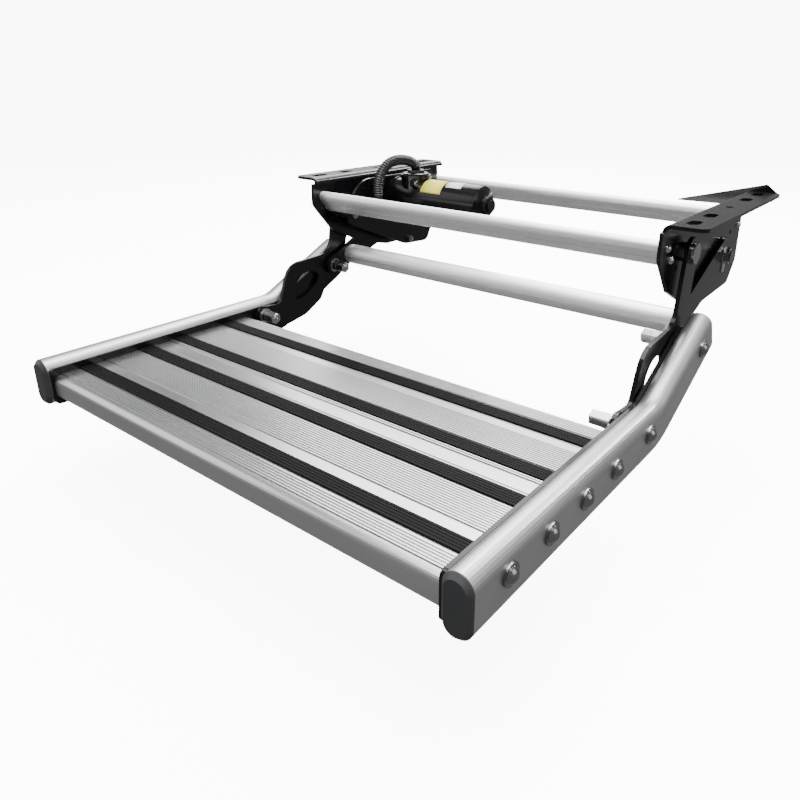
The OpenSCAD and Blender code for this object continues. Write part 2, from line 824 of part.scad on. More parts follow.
module bracket() {
    flange_front = -flange_l / 2;
    corner = 10;
    difference() {
        union() {
            plate_x(plate_in, plate_out) bracket_outline();
            translate([0, 0, -plate_t]) linear_extrude(plate_t) polygon(rounded([
                [plate_in + bend_r, flange_front], [plate_in + flange_w, flange_front],
                [plate_in + flange_w, -flange_front], [plate_in + bend_r, -flange_front]
            ], [1, corner, corner, 1]));
            translate([plate_in + bend_r, flange_front, -bend_r]) rotate([-90, 0, 0])
                rotate_extrude_quarter(flange_l);
        }
        for (y = [-slot_far, -slot_near, slot_near, slot_far]) flange_slot(slot_xs, y);
        translate([slot_xs, 0, -plate_t - over]) cylinder(h = plate_t + 2 * over, d = mid_hole_d);
        for (p = bar_screws()) rod_x(p, plate_in - over, plate_out + over, screw_d / 2 + fit);
        for (p = mount_points) rod_x(p, plate_in - over, plate_out + over, screw_d / 2 + fit);
        rod_x(A, plate_in - over, plate_out + over, pin_d / 2 + fit);
        rod_x(B, plate_in - over, plate_out + over, shaft_d / 2 + bush_wall + fit);
    }
}

// Quarter-round bend between plate and flange, along +Z before it is turned
module rotate_extrude_quarter(l) {
    rotate([0, 0, 180]) rotate_extrude(angle = 90) translate([bend_r - plate_t, 0]) square([plate_t, l]);
}

// Slot along the flange
module flange_slot(x, y) {
    run = slot_l - slot_w;
    translate([x, y, -plate_t - over]) {
        for (s = [-1, 1]) translate([0, s * run / 2, 0]) cylinder(h = plate_t + 2 * over, d = slot_w);
        translate([-slot_w / 2, -run / 2, 0]) cube([slot_w, run, plate_t + 2 * over]);
    }
}

module bracket_left() {
    color("#0f0f11") on_side(-1) bracket();
}

module bracket_right() {
    color("#0f0f11") difference() {
        bracket();
        gusset_holes(-plate_t - over, over + gusset_thread);
    }
}

// Hollow flat-oval bar with two screw ports and a fine groove along its front face
module crossbar(at) {
    groove = 1;
    port_r = screw_d / 2 + bar_wall;
    plate_x(-plate_in, plate_in) translate(at) rotate(bar_lean) difference() {
        oval(2 * bar_r, bar_ports + 2 * bar_r);
        difference() {
            oval(2 * (bar_r - bar_wall), bar_ports + 2 * (bar_r - bar_wall));
            for (s = [-1, 1]) translate([0, s * bar_ports / 2]) circle(r = port_r + 1);
        }
        for (s = [-1, 1]) translate([0, s * bar_ports / 2]) circle(r = screw_d / 2 + fit);
        translate([-bar_r, 0]) square(groove, center = true);
    }
}

module front_crossbar() {
    color("#cfd1d3") crossbar(front_bar);
}

module rear_crossbar() {
    color("#cfd1d3") crossbar(rear_bar);
}

// Button screw along X with its head facing +X
module button_screw(p, x0, x1) {
    rod_x(p, x0, x1, screw_d / 2);
    dome_x(p, x1, screw_head_r, screw_head_h);
}

module crossbar_screws() {
    screw_in = 25;
    color("#b4b6b8") both_sides() for (p = bar_screws()) button_screw(p, plate_in - screw_in, plate_out);
}

// Wedge-shaped upright plate behind the right-hand flange, on a tab under the flange
gusset_t = 3;
gusset_thread = 3;
gusset_y = flange_l / 2 + face_gap;
gusset_tab = 13;
gusset_screw_xs = [plate_in + 15, plate_in + 33];

// Holes along Z for the wedge's two screws, from z0 upwards
module gusset_holes(z0, h) {
    for (x = gusset_screw_xs) translate([x, flange_l / 2 - gusset_tab / 2, z0]) cylinder(h = h, r = screw_d / 2 + fit);
}

module rear_gusset() {
    low = -23;
    high = 10;
    end_x = plate_in + 41;
    outline = [[plate_in - 98, low], [plate_in + 10, low + 2], [end_x, -5], [end_x, -1], [end_x - 15, high]];
    tab_x = plate_in + bend_r + 1;
    color("#141416") difference() {
        union() {
            translate([0, gusset_y + gusset_t, 0]) rotate([90, 0, 0]) linear_extrude(gusset_t)
                polygon(rounded(outline, [1, 3, 2, 2, 4]));
            translate([tab_x, flange_l / 2 - gusset_tab, -plate_t - gusset_t])
                cube([plate_in + flange_w - 5 - tab_x, gusset_tab + face_gap + gusset_t, gusset_t]);
        }
        gusset_holes(-plate_t - gusset_t - over, gusset_t + 2 * over);
    }
}

module gusset_screws() {
    color("#8c8e90") for (x = gusset_screw_xs) translate([x, flange_l / 2 - gusset_tab / 2, -plate_t - gusset_t]) {
        cylinder(h = gusset_t + gusset_thread, d = screw_d);
        translate([0, 0, -screw_head_h]) cylinder(h = screw_head_h, r = screw_head_r);
    }
}

// Drive

// Three spacers hold the motor plate beside the left bracket
mount_points = [[A.x - 14, A.y - 17], [B.x - 34, B.y - 43.5], [B.x + 34, B.y + 24]];

module motor_mount_plate() {
    top = -6;
    outline = [
        [A.x - 24, A.y - 9], [A.x, top], [B.x + 42, top], [B.x + 46, B.y + 10],
        [B.x + 16, B.y - 54.5], [B.x - 43, B.y - 51], [A.x - 22, A.y - 31]
    ];
    corner_rs = [10, 45, 20, 16, 14, 30, 10];
    color("#121214") on_side(-1) difference() {
        plate_x(mount_in, mount_out) polygon(rounded(outline, corner_rs));
        rod_x(M, mount_in - over, mount_out + over, output_r + fit);
        for (p = mount_points) rod_x(p, mount_in - over, mount_out + over, screw_d / 2 + fit);
        for (p = gearbox_points()) rod_x(p, mount_in - over, mount_out + over, screw_d / 2 + fit);
    }
}

module mount_spacers() {
    spacer_r = 5.5;
    color("#2a2b2d") on_side(-1) for (p = mount_points) difference() {
        rod_x(p, mount_out, plate_in, spacer_r);
        rod_x(p, mount_out - over, plate_in + over, screw_d / 2 + fit);
    }
}

// Long screws from the motor plate through the spacers, with nuts on the motor side
module mount_bolts() {
    tail = 8;
    mount_nut_h = 5;
    color("#b4b6b8") on_side(-1) for (p = mount_points) {
        rod_x(p, mount_in - tail, plate_out, screw_d / 2);
        nut(p, mount_in - mount_nut_h, mount_in, screw_head_r + 0.5, screw_d / 2 + fit);
    }
}

output_r = 8;
output_in = 30;
gearbox_screw_r = 19;
gearbox_screw_l = 14;
ear_r = 6;
tie_d = 5;
tie_tail = 10;
function tie_points() = [for (a = [135, -45]) M + (can_r + ear_r - 1) * [cos(a), sin(a)]];
function gearbox_points() = [for (a = [45, 135, 225, 315]) M + gearbox_screw_r * [cos(a), sin(a)]];
turret_r = 23;
turret_x = can_start + 17.5;
turret_top = M.y + can_r + 0.5;
cover_t = 7.5;
gland_deep = 6;

module gearbox_housing() {
    rib_t = 6;
    color("#161618") on_side(-1) difference() {
        union() {
            rod_x(M, can_start + rib_t, mount_in, gearbox_r - 1.5);
            rod_x(M, mount_in - rib_t, mount_in, gearbox_r);
            rod_x(M, can_start, can_start + rib_t, gearbox_r);
            for (p = tie_points()) rod_x(p, can_start, can_start + rib_t, ear_r);
            translate([turret_x, M.x, M.y]) cylinder(h = turret_top - M.y, r = turret_r);
        }
        rod_x(M, mount_in - output_in, mount_in + over, output_r + fit);
        for (p = gearbox_points()) rod_x(p, mount_in - gearbox_screw_l, mount_in + over, screw_d / 2 + fit);
        for (p = tie_points()) rod_x(p, can_start - over, can_start + tie_tail + over, tie_d / 2 + fit);
        translate([turret_x, M.x, turret_top - gland_deep]) cylinder(h = gland_deep + over, r = gland_r + fit);
        rod_x(M, can_end, can_start, can_r + face_gap);
    }
}

gland_r = 11;

// Raised ring that closes the gearbox's turret
module gearbox_cover() {
    color("#1c1c1e") on_side(-1) translate([turret_x, M.x, turret_top]) difference() {
        union() {
            cylinder(h = cover_t - 2, r = turret_r + 1);
            cylinder(h = cover_t, r = turret_r - 3);
        }
        translate([0, 0, -over]) cylinder(h = cover_t + 2 * over, r = gland_r + fit);
    }
}

collar_h = 5;
gland_top = turret_top + cover_t + collar_h;
gland_seat = 12;
seat_slack = 0.3;

// Gland that takes the conduit into the turret
module conduit_gland() {
    color("#101011") on_side(-1) translate([turret_x, M.x, 0]) difference() {
        union() {
            translate([0, 0, turret_top - gland_deep]) cylinder(h = gland_top - turret_top + gland_deep, r = gland_r);
            translate([0, 0, gland_top - collar_h]) cylinder(h = collar_h, r = gland_r + 2.5, $fn = 12);
        }
        translate([0, 0, gland_top - gland_seat]) cylinder(h = gland_seat + over, r = conduit_d / 2 + seat_slack);
    }
}

// Route of the conduit from its seat in the gland: over in a loop and down behind the front bar
conduit_base = [-turret_x, M.x, gland_top - gland_seat + seat_gap];
conduit_route = [for (step = [
    [0, 0, 0], [0, 0, 16], [-3, -7, 23.5], [-7, -21, 27.5], [-11, -37, 27.5], [-15, -52, 21.5], [-18, -62, 8.5],
    [-20, -66, -7.5], [-20, -67, -23.5], [-20, -67, -39.5]
]) conduit_base + step];

// Smooth curve through the route's points
function route_point(i) = conduit_route[max(0, min(len(conduit_route) - 1, i))];
function on_curve(i, t) =
    let (p0 = route_point(i - 1), p1 = route_point(i), p2 = route_point(i + 1), p3 = route_point(i + 2))
    0.5 * (2 * p1 + (p2 - p0) * t + (2 * p0 - 5 * p1 + 4 * p2 - p3) * t * t + (3 * p1 - p0 - 3 * p2 + p3) * t * t * t);
samples_a_span = 16;
curve = [for (i = [0 : len(conduit_route) - 2], k = [0 : samples_a_span - 1]) on_curve(i, k / samples_a_span)];
curve_pts = concat(curve, [conduit_route[len(conduit_route) - 1]]);
function run_lengths(pts, i = 0, sum = 0) =
    i == len(pts) - 1 ? [sum] : concat([sum], run_lengths(pts, i + 1, sum + norm(pts[i + 1] - pts[i])));
curve_runs = run_lengths(curve_pts);
conduit_l = curve_runs[len(curve_runs) - 1];
function at_run(s) =
    let (i = min(len(curve_runs) - 2, max([for (k = [0 : len(curve_runs) - 1]) curve_runs[k] <= s + 1e-6 ? k : 0])))
    let (t = (s - curve_runs[i]) / (curve_runs[i + 1] - curve_runs[i]))
    curve_pts[i] + t * (curve_pts[i + 1] - curve_pts[i]);

// Rings along the conduit: straight ends, then a crest and a valley to each rib
conduit_sides = 8;
rib_count = floor((conduit_l - 2 * conduit_d) / conduit_pitch);
rib_start = (conduit_l - rib_count * conduit_pitch) / 2;
ring_runs = concat(
    [0], [for (i = [0 : rib_count - 1], h = [0, 0.5]) rib_start + (i + h) * conduit_pitch], [conduit_l]);
ring_rs = concat(
    [conduit_d / 2 - conduit_rib],
    [for (i = [0 : rib_count - 1], h = [0, 1]) conduit_d / 2 - (h == 0 ? conduit_rib : 0)],
    [conduit_d / 2 - conduit_rib]);
conduit_wall = 1;
ring_step = 0.5;
function ring(s, r) =
    let (p = at_run(s), q0 = at_run(max(0, s - ring_step)), q1 = at_run(min(conduit_l, s + ring_step)))
    let (d = unit(q1 - q0), side = unit(cross(d, [0.2, -0.8, 0.05])), up = cross(side, d))
    [for (k = [0 : conduit_sides - 1]) let (a = 360 * (k + 0.5) / conduit_sides)
        p + r / cos(180 / conduit_sides) * 0.98 * (cos(a) * side + sin(a) * up)];

module wiring_conduit() {
    inner_r = conduit_d / 2 - conduit_rib - conduit_wall;
    outer = [for (i = [0 : len(ring_runs) - 1]) ring(ring_runs[i], ring_rs[i])];
    inner = [for (s = ring_runs) ring(s, inner_r)];
    color("#18181a") ringed_tube(outer, inner);
}

// Plug at the lower end of the conduit, clipped to the motor plate
module wiring_plug() {
    body = [24, 20, 22];
    plug_seat = 6;
    clip = [12, 3];
    clip_drop = 16;
    mouth = [16, 12, 8];
    end = conduit_route[len(conduit_route) - 1];
    top = end.z + plug_seat;
    side_x = end.x - body.x / 2;
    color("#d8d8d4") difference() {
        union() {
            translate([side_x, end.y - body.y / 2, top - body.z]) cube(body);
            translate([-mount_in, end.y - clip.x / 2, top - clip_drop]) cube([side_x + mount_in, clip.x, clip.y]);
        }
        translate([end.x, end.y, end.z - seat_gap])
            cylinder(h = plug_seat + seat_gap + over, r = conduit_d / 2 + seat_slack);
        translate([end.x - mouth.x / 2, end.y - mouth.y / 2, top - body.z - over]) cube(mouth);
    }
}

module motor_can() {
    color("#131315") on_side(-1) rod_x(M, can_end, can_start, can_r);
}

// Domed end with a bearing boss
module motor_end_cap() {
    skirt = 3;
    cap_len = 9;
    cap_r = can_r - 0.5;
    boss_r = 13;
    boss_l = 6;
    tip_r = 9;
    tip_l = 4;
    boss_end = can_end - cap_len - boss_l;
    color("#17171a") on_side(-1) {
        rod_x(M, can_end - skirt, can_end, cap_r);
        translate([can_end - skirt, 0, 0]) mirror([1, 0, 0]) dome_x(M, 0, cap_r, cap_len - skirt);
        rod_x(M, boss_end, boss_end + boss_l + 2, boss_r);
        rod_x(M, boss_end - tip_l, boss_end, tip_r);
    }
}

// Screws that hold the gearbox to its plate and the motor to the gearbox
module motor_screws() {
    tie_head_h = 3.5;
    color("#c4c6c8") on_side(-1) {
        for (p = gearbox_points()) rod_x(p, mount_in - gearbox_screw_l, mount_out, screw_d / 2);
        for (p = tie_points()) {
            rod_x(p, can_start - 0.1, can_start + tie_tail, tie_d / 2);
            rod_x(p, can_start - tie_head_h, can_start, tie_d / 2 + 2);
        }
    }
}

module output_shaft() {
    color("#85878a") on_side(-1) rod_x(M, mount_in - output_in + 1, crank_out, output_r);
}

// Flat arm from p to q with round ends, bored r0 at p and r1 at q
module arm(p, q, x0, x1, r0, r1) {
    difference() {
        plate_x(x0, x1) {
            translate(p) circle(r = arm_r + 3);
            translate(q) circle(r = arm_r);
            translate(p) rotate(atan2(q.y - p.y, q.x - p.x)) translate([0, -arm_r]) square([norm(q - p), 2 * arm_r]);
        }
        rod_x(p, x0 - over, x1 + over, r0 + fit);
        rod_x(q, x0 - over, x1 + over, r1 + fit);
    }
}

drive_pin_r = 5;

module crank_arm() {
    color("#3a3b3e") on_side(-1) arm(M, crank_end, crank_in, crank_out, output_r, drive_pin_r);
}

module crank_pin() {
    color("#9b9da0") on_side(-1) rod_x(crank_end, crank_in, rod_out, drive_pin_r);
}

module drive_lever() {
    color("#3a3b3e") on_side(-1) arm(B, lever_end, lever_in, lever_out, shaft_d / 2, drive_pin_r);
}

module lever_pin() {
    color("#9b9da0") on_side(-1) rod_x(lever_end, rod_in, lever_out, drive_pin_r);
}

module drive_rod() {
    color("#56585b") on_side(-1) difference() {
        plate_x(rod_in, rod_out) {
            for (p = [crank_end, lever_end]) translate(p) circle(r = arm_r);
            translate(lever_end) rotate(drive_dir) translate([0, -arm_r * 0.7])
                square([norm(M - B), 1.4 * arm_r]);
        }
        for (p = [crank_end, lever_end]) rod_x(p, rod_in - over, rod_out + over, drive_pin_r + fit);
    }
}

bracket_left();
bracket_right();
front_crossbar();
rear_crossbar();
crossbar_screws();
rear_gusset();
gusset_screws();
motor_mount_plate();
mount_spacers();
mount_bolts();
gearbox_housing();
gearbox_cover();
conduit_gland();
wiring_conduit();
wiring_plug();
motor_can();
motor_end_cap();
motor_screws();
front_pivot_pins();
front_pivot_spacers();
front_pivot_nuts();
rear_pivot_bushes();
output_shaft();
crank_arm();
crank_pin();
drive_rod();
rear_link_left();
rear_link_right();
cross_tube();
tube_plugs();
tube_screws();
rear_shaft_left();
rear_shaft_right();
rear_shaft_nuts();
drive_lever();
lever_pin();
lock_studs();
lock_nuts();
front_link_left();
front_link_right();
plank_front();
plank_rear();
grip_strip(0);  // grip_strip_1
grip_strip(1);  // grip_strip_2
turned() grip_strip(1);  // grip_strip_3
turned() grip_strip(0);  // grip_strip_4
side_rail_left();
side_rail_right();
side_plate_left();
side_plate_right();
front_cap_left();
front_cap_right();
rail_end_cap_left();
rail_end_cap_right();
tread_bolts();
plank_screws();
tread_pivot_bolts();
tread_pivot_nuts();
lock_bolts();
lock_bushes();
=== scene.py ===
"""Dresses the folding caravan step: finishes, the ribbed conduit, small trim and the studio."""

from __future__ import annotations

import logging
import math
from abc import ABC, abstractmethod
from dataclasses import dataclass, field
from enum import Enum
from typing import Any, Callable, Iterable, Sequence, Union

import bpy
from mathutils import Matrix, Vector

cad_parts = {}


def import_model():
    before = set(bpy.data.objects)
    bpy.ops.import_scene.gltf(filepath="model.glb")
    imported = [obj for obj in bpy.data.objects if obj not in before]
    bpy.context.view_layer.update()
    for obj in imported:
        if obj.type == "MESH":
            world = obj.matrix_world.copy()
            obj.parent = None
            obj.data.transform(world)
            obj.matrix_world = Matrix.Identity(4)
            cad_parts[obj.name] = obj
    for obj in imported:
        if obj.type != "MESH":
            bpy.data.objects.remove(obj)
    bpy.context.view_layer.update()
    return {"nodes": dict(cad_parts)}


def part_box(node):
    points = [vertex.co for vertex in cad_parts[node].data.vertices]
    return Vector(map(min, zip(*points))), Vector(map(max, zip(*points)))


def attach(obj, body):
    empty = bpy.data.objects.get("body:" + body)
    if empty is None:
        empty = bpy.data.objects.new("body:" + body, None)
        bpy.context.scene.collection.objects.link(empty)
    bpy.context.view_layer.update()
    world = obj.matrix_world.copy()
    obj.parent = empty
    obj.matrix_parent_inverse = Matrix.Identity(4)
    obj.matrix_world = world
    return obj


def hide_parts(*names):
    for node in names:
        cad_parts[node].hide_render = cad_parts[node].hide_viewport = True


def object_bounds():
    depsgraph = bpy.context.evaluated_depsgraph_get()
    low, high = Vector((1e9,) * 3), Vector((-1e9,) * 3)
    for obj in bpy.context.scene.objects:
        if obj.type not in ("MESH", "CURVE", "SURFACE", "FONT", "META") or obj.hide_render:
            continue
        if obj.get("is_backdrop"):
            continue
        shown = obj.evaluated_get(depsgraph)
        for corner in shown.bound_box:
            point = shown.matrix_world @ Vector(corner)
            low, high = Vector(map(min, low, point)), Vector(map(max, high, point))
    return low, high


LOG = logging.getLogger("step")
MM = 0.001
FINE_DETAIL = 2.0
BEVEL_SEGMENTS = 2
SHARP_ANGLE = math.radians(40.0)
Colour = tuple[float, float, float]
Point = tuple[float, float, float]
Value = Union["Wire", float, Sequence[float]]


class Axis(Enum):
    """Direction that a drawn or extruded surface's grain runs in."""

    X = 0
    Y = 1


class Edge(Enum):
    """How far the sharp edges of a kind of piece are broken, in metres."""

    SHEET = 0.7 * MM
    EXTRUSION = 0.25 * MM
    MOULDED = 0.6 * MM
    FASTENER = 0.3 * MM
    CAST = 0.8 * MM


# Shader graph


@dataclass(frozen=True)
class Wire:
    """A value in a shader graph that Python's operators work on."""

    graph: Graph
    socket: bpy.types.NodeSocket

    def _math(self, operation: str, other: Value, flipped: bool = False) -> Wire:
        """Adds one Math node.

        Args:
            operation: The Math node's operation.
            other: The other operand.
            flipped: True where the other operand comes first.

        Returns:
            The node's result.
        """
        first, second = (other, self) if flipped else (self, other)
        return self.graph.add("ShaderNodeMath", {"operation": operation}, {0: first, 1: second})

    def __add__(self, other: Value) -> Wire:
        """Sum."""
        return self._math("ADD", other)

    def __radd__(self, other: Value) -> Wire:
        """Sum, other operand first."""
        return self._math("ADD", other, True)

    def __mul__(self, other: Value) -> Wire:
        """Product."""
        return self._math("MULTIPLY", other)

    def __rmul__(self, other: Value) -> Wire:
        """Product, other operand first."""
        return self._math("MULTIPLY", other, True)


class Graph:
    """A material's node tree, built by expressions."""

    def __init__(self, name: str) -> None:
        """Starts a material of that name with its Principled shader."""
        self.material = bpy.data.materials.new(name)
        self.material.use_nodes = True
        self.tree = self.material.node_tree
        self.shader = self.tree.nodes["Principled BSDF"]

    def add(
        self,
        kind: str,
        settings: dict[str, Any] | None = None,
        inputs: dict[int | str, Value] | None = None,
        output: int | str = 0,
    ) -> Wire:
        """Adds one node.

        Args:
            kind: The node's type.
            settings: Its properties, set first; "stops" holds a ramp's stops.
            inputs: Values or links of its sockets.
            output: The socket that is returned.

        Returns:
            The chosen output.
        """
        node = self.tree.nodes.new(kind)
        for name, value in (settings or {}).items():
            if name == "stops":
                self._set_stops(node.color_ramp, value)
            else:
                setattr(node, name, value)
        for key, value in (inputs or {}).items():
            self._feed(node.inputs[key], value)
        return Wire(self, node.outputs[output])

    @staticmethod
    def _set_stops(ramp: bpy.types.ColorRamp, stops: Sequence[tuple[float, float]]) -> None:
        """Gives a grey ramp its stops.

        Args:
            ramp: The ramp.
            stops: Pairs of position and level.
        """
        while len(ramp.elements) < len(stops):
            ramp.elements.new(1.0)
        for element, (position, level) in zip(ramp.elements, stops):
            element.position = position
            element.color = (level, level, level, 1.0)

    def _feed(self, socket: bpy.types.NodeSocket, value: Value) -> None:
        """Links a wire to a socket, or sets its value.

        Args:
            socket: The socket that is fed.
            value: A wire, number, colour or vector.
        """
        if isinstance(value, Wire):
            self.tree.links.new(value.socket, socket)
        else:
            socket.default_value = value

    def surface(self, **values: Value) -> None:
        """Sets the Principled shader's sockets.

        Args:
            values: Values or links by socket name, with underscores for spaces.
        """
        for name, value in values.items():
            socket = name.replace("_", " ").title().replace("Ior", "IOR")
            self._feed(self.shader.inputs[socket], value)

    def place(self, scale: Sequence[float] = (1.0, 1.0, 1.0)) -> Wire:
        """The point on the piece, in metres, stretched by a scale for each axis."""
        point = self.add("ShaderNodeTexCoord", output="Object")
        return self.add("ShaderNodeMapping", inputs={"Vector": point, "Scale": scale})

    def noise(self, at: Wire, scale: float, detail: float = 3.0) -> Wire:
        """Fractal noise, about 0 to 1, at a place."""
        return self.add("ShaderNodeTexNoise", inputs={"Vector": at, "Scale": scale, "Detail": detail})

    def ramp(self, value: Wire, *stops: tuple[float, float]) -> Wire:
        """A value through a grey ramp."""
        return self.add("ShaderNodeValToRGB", {"stops": stops}, {"Fac": value})

    def blend(self, mask: Wire, first: Colour, second: Colour) -> Wire:
        """A colour between two, by a mask."""
        return self.add(
            "ShaderNodeMix", {"data_type": "RGBA"}, {0: mask, 6: (*first, 1.0), 7: (*second, 1.0)}, 2
        )

    def bump(self, height: Wire, strength: float, depth: float) -> Wire:
        """A normal bent by a height of a depth in metres."""
        return self.add("ShaderNodeBump", inputs={"Height": height, "Strength": strength, "Distance": depth})


# Finishes


@dataclass(frozen=True)
class Finish(ABC):
    """A surface: its record slot, colour and gloss."""

    slot: str
    colour: Colour
    roughness: float

    def material(self) -> bpy.types.Material:
        """Builds the finish.

        Returns:
            Its material.
        """
        graph = Graph(self.slot)
        self.paint(graph)
        return graph.material

    @abstractmethod
    def paint(self, graph: Graph) -> None:
        """Sets the graph's shader; each kind of finish has its own way."""

    def shade(self, factor: float) -> Colour:
        """The colour, lighter or darker by a factor."""
        red, green, blue = self.colour
        return red * factor, green * factor, blue * factor


@dataclass(frozen=True)
class PowderCoat(Finish):
    """Gloss paint on steel with a faint orange peel and dust in the gloss."""

    peel: float = 700.0
    peel_strength: float = 0.03
    peel_depth: float = 0.2 * MM
    haze: float = 14.0
    haze_detail: float = 4.0
    haze_tones: tuple[float, float] = (0.75, 1.6)
    haze_dulling: float = 0.12
    coat: float = 0.0
    coat_roughness: float = 0.12
    gleam: float = 0.25

    def paint(self, graph: Graph) -> None:
        """Sets a dark gloss with a fine skin.

        Args:
            graph: The material's graph.
        """
        at = graph.place()
        haze = graph.noise(at, self.haze, self.haze_detail)
        skin = graph.noise(at, self.peel, FINE_DETAIL)
        graph.surface(
            base_color=graph.blend(haze, *map(self.shade, self.haze_tones)),
            roughness=self.roughness + self.haze_dulling * haze,
            specular_ior_level=self.gleam,
            coat_weight=self.coat,
            coat_roughness=self.coat_roughness,
            normal=graph.bump(skin, self.peel_strength, self.peel_depth),
        )


@dataclass(frozen=True)
class Extrusion(Finish):
    """Satin anodised aluminium with fine die lines along the extrusion."""

    grain: Axis = Axis.X
    lines: float = 900.0
    line_stretch: float = 0.012
    line_strength: float = 0.04
    line_depth: float = 0.1 * MM
    line_dulling: float = 0.10
    line_share: float = 0.6
    clouds: float = 9.0
    cloud_detail: float = 4.0
    cloud_dulling: float = 0.06
    cloud_share: float = 0.4
    tones: tuple[float, float] = (0.86, 1.12)

    def paint(self, graph: Graph) -> None:
        """Sets a satin metal with streaks along its grain.

        Args:
            graph: The material's graph.
        """
        stretch = [1.0, 1.0, 1.0]
        stretch[self.grain.value] = self.line_stretch
        streaks = graph.noise(graph.place(stretch), self.lines, FINE_DETAIL)
        clouds = graph.noise(graph.place(), self.clouds, self.cloud_detail)
        tone = self.line_share * streaks + self.cloud_share * clouds
        graph.surface(
            base_color=graph.blend(tone, *map(self.shade, self.tones)),
            metallic=1.0,
            roughness=self.roughness + self.line_dulling * streaks + self.cloud_dulling * clouds,
            normal=graph.bump(streaks, self.line_strength, self.line_depth),
        )


@dataclass(frozen=True)
class BareMetal(Finish):
    """Plated or oiled metal with a mottled gloss."""

    mottle: float = 160.0
    mottle_tones: tuple[float, float] = (0.8, 1.15)
    mottle_dulling: float = 0.12
    mottle_strength: float = 0.08
    mottle_depth: float = 0.1 * MM
    scuffs: float = 640.0
    scuff_range: tuple[float, float] = (0.45, 0.75)
    scuff_dulling: float = 0.1

    def paint(self, graph: Graph) -> None:
        """Sets a metal whose colour and gloss vary a little.

        Args:
            graph: The material's graph.
        """
        at = graph.place()
        cloud = graph.noise(at, self.mottle)
        first, last = self.scuff_range
        scuff = graph.ramp(graph.noise(at, self.scuffs, FINE_DETAIL), (first, 0.0), (last, 1.0))
        graph.surface(
            base_color=graph.blend(cloud, *map(self.shade, self.mottle_tones)),
            metallic=1.0,
            roughness=self.roughness + self.mottle_dulling * cloud + self.scuff_dulling * scuff,
            normal=graph.bump(cloud, self.mottle_strength, self.mottle_depth),
        )


@dataclass(frozen=True)
class Moulded(Finish):
    """Moulded plastic or rubber with a fine spark-eroded grain."""

    grain: float = 1400.0
    grain_depth: float = 0.2 * MM
    relief: float = 0.2
    gleam: float = 0.4
    clouds: float = 20.0
    cloud_tones: tuple[float, float] = (0.85, 1.25)
    cloud_dulling: float = 0.1

    def paint(self, graph: Graph) -> None:
        """Sets a dull surface with a fine grain.

        Args:
            graph: The material's graph.
        """
        at = graph.place()
        cloud = graph.noise(at, self.clouds)
        skin = graph.noise(at, self.grain, FINE_DETAIL)
        graph.surface(
            base_color=graph.blend(cloud, *map(self.shade, self.cloud_tones)),
            roughness=self.roughness + self.cloud_dulling * cloud,
            specular_ior_level=self.gleam,
            normal=graph.bump(skin, self.relief, self.grain_depth),
        )


@dataclass(frozen=True)
class Paper(Finish):
    """Label stock with nothing on it."""

    soil: float = 60.0
    soil_detail: float = 4.0
    soil_tones: tuple[float, float] = (0.82, 1.08)
    soil_dulling: float = 0.1
    gleam: float = 0.25

    def paint(self, graph: Graph) -> None:
        """Sets a pale satin sheet with a little soiling.

        Args:
            graph: The material's graph.
        """
        soil = graph.noise(graph.place(), self.soil, self.soil_detail)
        graph.surface(
            base_color=graph.blend(soil, *map(self.shade, self.soil_tones)),
            roughness=self.roughness + self.soil_dulling * soil,
            specular_ior_level=self.gleam,
        )


POWDER_BLACK = PowderCoat("powder_black", (0.0025, 0.0025, 0.003), 0.16, gleam=0.3)
MOTOR_BLACK = PowderCoat("motor_black", (0.003, 0.003, 0.0034), 0.16, peel=1200.0, coat=0.08, gleam=0.25)
PLANK_SILVER = Extrusion("satin_aluminium", (0.52, 0.525, 0.53), 0.22, grain=Axis.X)
RAIL_SILVER = Extrusion("satin_aluminium", (0.44, 0.442, 0.444), 0.34, grain=Axis.Y, lines=2400.0)
BAR_SILVER = Extrusion("satin_aluminium", (0.88, 0.885, 0.89), 0.42, grain=Axis.X)
ZINC = BareMetal("zinc_steel", (0.40, 0.404, 0.408), 0.09)
BOLT_ZINC = BareMetal("zinc_steel", (0.24, 0.242, 0.245), 0.14)
DARK_STEEL = BareMetal("dark_steel", (0.17, 0.17, 0.18), 0.24)
PIN_STEEL = BareMetal("dark_steel", (0.32, 0.32, 0.33), 0.16)
BRONZE = BareMetal("sintered_bronze", (0.36, 0.27, 0.14), 0.42)
NYLON = Moulded("lock_nylon", (0.03, 0.03, 0.032), 0.42)
RUBBER = Moulded("grip_rubber", (0.003, 0.003, 0.0034), 0.50, relief=0.03, gleam=0.06)
CAP_GREY = Moulded("cap_plastic", (0.037, 0.038, 0.040), 0.40, gleam=0.3)
END_GREY = Moulded("end_plastic", (0.30, 0.31, 0.32), 0.42)
CONDUIT_BLACK = Moulded("conduit_plastic", (0.006, 0.006, 0.0065), 0.26, relief=0.1)
PLUG_WHITE = Moulded("plug_plastic", (0.66, 0.66, 0.62), 0.40)
LABEL_YELLOW = Paper("motor_black", (0.58, 0.52, 0.06), 0.45)
LABEL_SILVER = Paper("motor_black", (0.56, 0.57, 0.58), 0.30)


# Building blocks


def mesh_object(name: str, points: Sequence[Vector], faces: Sequence[Sequence[int]]) -> bpy.types.Object:
    """Makes a smooth-shaded mesh object in the part's frame.

    Args:
        name: The piece's name.
        points: Its vertices, in metres.
        faces: Its faces, as lists of vertex numbers.

    Returns:
        The new object, linked to the scene.
    """
    mesh = bpy.data.meshes.new(name)
    mesh.from_pydata([tuple(p) for p in points], [], faces)
    mesh.update()
    mesh.shade_smooth()
    piece = bpy.data.objects.new(name, mesh)
    bpy.context.scene.collection.objects.link(piece)
    return piece


